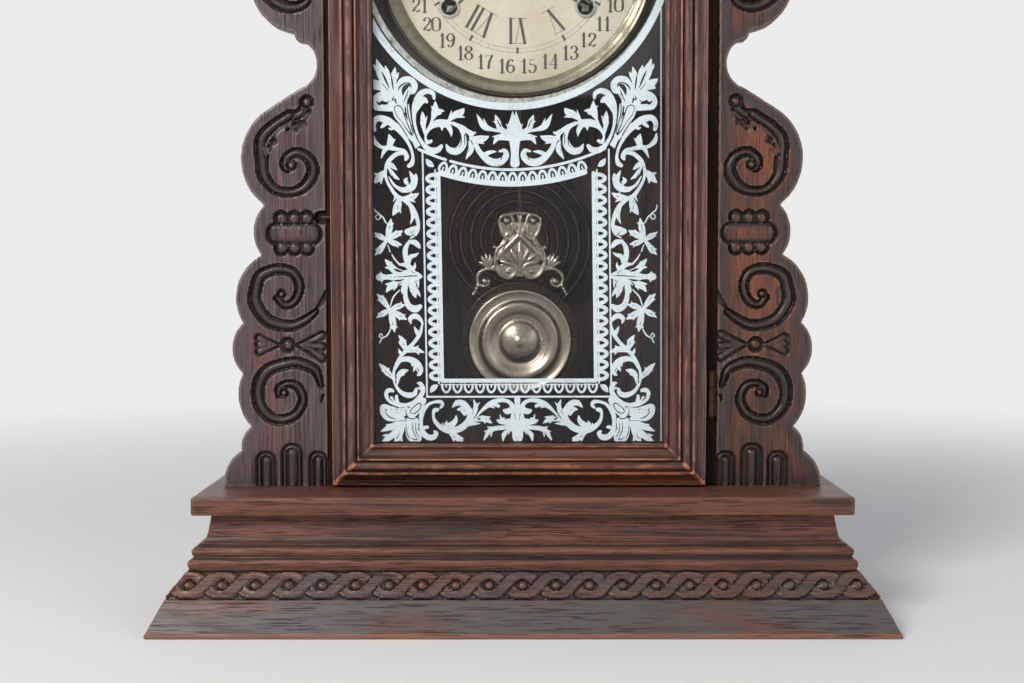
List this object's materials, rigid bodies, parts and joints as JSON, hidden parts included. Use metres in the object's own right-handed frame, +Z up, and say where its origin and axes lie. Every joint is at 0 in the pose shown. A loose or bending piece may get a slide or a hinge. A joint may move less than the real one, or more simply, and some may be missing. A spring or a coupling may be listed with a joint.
{
  "type": "pressed oak shelf clock",
  "caption": "Carved oak shelf clock with a stencilled glass door, a calendar dial, an ornate pendulum and a spiral wire gong.",
  "frame": {"origin": "centre of the base's footprint, on the surface that the clock stands on", "axes": "+Z up, the dial faces -Y, +X is the viewer's right"},
  "size_m": [0.381, 0.124, 0.584],
  "materials": {
    "pressed_oak": "dark stained pressed oak, worn to orange on its ridges",
    "door_oak": "dark stained oak moulding, worn varnish",
    "inner_oak": "dark stained, matt",
    "brass": "aged",
    "nickel": "dull aged nickel plate",
    "steel": "grey steel",
    "blued_steel": "blued",
    "cast_iron": "japanned black",
    "dial_paper": "printed paper on a tin pan",
    "door_glass": "clear with a stencilled pattern"
  },
  "bodies": {
    "case": {"base_front_moulding": "pressed_oak", "base_side_moulding_left": "pressed_oak", "base_side_moulding_right": "pressed_oak", "base_top_board": "pressed_oak", "case_side_left": "inner_oak", "case_side_right": "inner_oak", "case_top_board": "inner_oak", "back_board": "inner_oak", "front_stile_left": "pressed_oak", "front_stile_right": "pressed_oak", "front_top_rail": "pressed_oak", "side_wing_left": "pressed_oak", "side_wing_right": "pressed_oak", "crest_panel": "pressed_oak", "lower_hinge_case_leaf_and_pin": "brass", "upper_hinge_case_leaf_and_pin": "brass", "door_catch_spring": "brass", "dial_pan": "dial_paper", "dial_bezel": "nickel", "winding_grommet_left": "steel", "winding_grommet_right": "steel", "movement_front_plate": "brass", "movement_back_plate": "brass", "suspension_post": "brass", "time_mainspring": "steel", "strike_mainspring": "steel", "gong_coil": "steel", "gong_base": "cast_iron"},
    "door": {"door_stile_left": "door_oak", "door_stile_right": "door_oak", "door_rail_bottom": "door_oak", "door_rail_top": "door_oak", "door_glass": "door_glass", "glass_retaining_frame": "inner_oak", "door_pull_pin": "brass", "lower_hinge_door_leaf": "brass", "upper_hinge_door_leaf": "brass"},
    "pendulum": {"pendulum_rod": "steel", "pendulum_bob": "nickel", "pendulum_ornament": "nickel", "rating_nut": "brass"},
    "verge": {"verge": "steel"},
    "escape": {"escape_wheel": "brass"},
    "third": {"third_wheel": "brass"},
    "centre": {"centre_wheel": "brass", "minute_hand": "blued_steel", "hand_nut": "brass"},
    "time_second": {"time_second_wheel": "brass"},
    "time_main": {"time_main_wheel": "brass"},
    "time_winding": {"time_winding_arbor": "steel"},
    "minute_work": {"minute_wheel": "brass"},
    "hour_work": {"hour_wheel": "brass", "hour_hand": "blued_steel"},
    "calendar": {"calendar_wheel": "brass", "calendar_hand": "blued_steel"},
    "strike_main": {"strike_main_wheel": "brass"},
    "strike_winding": {"strike_winding_arbor": "steel"},
    "strike_second": {"strike_second_wheel": "brass"},
    "fly": {"fly": "brass"},
    "hammer": {"hammer": "steel"}
  },
  "joints": [
    {"name": "door_hinge", "type": "hinge", "parent": "case", "child": "door", "pos_m": [0.1016, -0.0076, 0.0692], "axis": [0, 0, 1], "range_deg": [0, 100]},
    {"name": "pendulum_swing", "type": "hinge", "parent": "case", "child": "pendulum", "pos_m": [-0.0022, 0.0166, 0.4047], "axis": [0, 1, 0], "range_deg": [-4, 4]},
    {"name": "verge_swing", "type": "hinge", "parent": "case", "child": "verge", "pos_m": [-0.0022, 0.0196, 0.3977], "axis": [0, 1, 0], "range_deg": [-7, 7]},
    {"name": "escape_spin", "type": "hinge", "parent": "case", "child": "escape", "pos_m": [-0.0022, 0.0196, 0.3822], "axis": [0, 1, 0], "continuous": true},
    {"name": "third_spin", "type": "hinge", "parent": "case", "child": "third", "pos_m": [-0.02146, 0.0286, 0.37218], "axis": [0, 1, 0], "continuous": true},
    {"name": "centre_spin", "type": "hinge", "parent": "case", "child": "centre", "pos_m": [-0.0022, 0.0485, 0.3537], "axis": [0, 1, 0], "continuous": true},
    {"name": "time_second_spin", "type": "hinge", "parent": "case", "child": "time_second", "pos_m": [0.02409, 0.0286, 0.35912], "axis": [0, 1, 0], "continuous": true},
    {"name": "time_main_spin", "type": "hinge", "parent": "case", "child": "time_main", "pos_m": [0.0346, 0.0315, 0.3267], "axis": [0, 1, 0], "continuous": true},
    {"name": "time_winding_spin", "type": "hinge", "parent": "time_main", "child": "time_winding", "pos_m": [0.0346, 0.0315, 0.3267], "axis": [0, 1, 0], "continuous": true},
    {"name": "minute_work_spin", "type": "hinge", "parent": "case", "child": "minute_work", "pos_m": [-0.0022, 0.0234, 0.33534], "axis": [0, 1, 0], "continuous": true},
    {"name": "hour_work_spin", "type": "hinge", "parent": "case", "child": "hour_work", "pos_m": [-0.0022, 0.0217, 0.3537], "axis": [0, 1, 0], "continuous": true},
    {"name": "calendar_spin", "type": "hinge", "parent": "case", "child": "calendar", "pos_m": [-0.0022, 0.0116, 0.3537], "axis": [0, 1, 0], "continuous": true},
    {"name": "fly_spin", "type": "hinge", "parent": "case", "child": "fly", "pos_m": [-0.0007, 0.0405, 0.29173], "axis": [0, 1, 0], "continuous": true},
    {"name": "strike_second_spin", "type": "hinge", "parent": "case", "child": "strike_second", "pos_m": [-0.01029, 0.0286, 0.30834], "axis": [0, 1, 0], "continuous": true},
    {"name": "strike_main_spin", "type": "hinge", "parent": "case", "child": "strike_main", "pos_m": [-0.039, 0.0315, 0.3267], "axis": [0, 1, 0], "continuous": true},
    {"name": "strike_winding_spin", "type": "hinge", "parent": "strike_main", "child": "strike_winding", "pos_m": [-0.039, 0.0315, 0.3267], "axis": [0, 1, 0], "continuous": true},
    {"name": "hammer_lift", "type": "hinge", "parent": "case", "child": "hammer", "pos_m": [-0.02, 0.045, 0.29], "axis": [0, 1, 0], "range_deg": [0, 12]}
  ],
  "couplings": [
    {"joint": "verge_swing", "follows": "pendulum_swing", "ratio": 1.5385},
    {"joint": "third_spin", "follows": "escape_spin", "ratio": -0.1},
    {"joint": "centre_spin", "follows": "escape_spin", "ratio": 0.010714},
    {"joint": "time_second_spin", "follows": "escape_spin", "ratio": -0.0021429},
    {"joint": "time_main_spin", "follows": "escape_spin", "ratio": 0.00035714},
    {"joint": "minute_work_spin", "follows": "escape_spin", "ratio": -0.0035714},
    {"joint": "hour_work_spin", "follows": "escape_spin", "ratio": 0.00089286},
    {"joint": "strike_second_spin", "follows": "fly_spin", "ratio": -0.125},
    {"joint": "strike_main_spin", "follows": "fly_spin", "ratio": 0.020833}
  ]
}
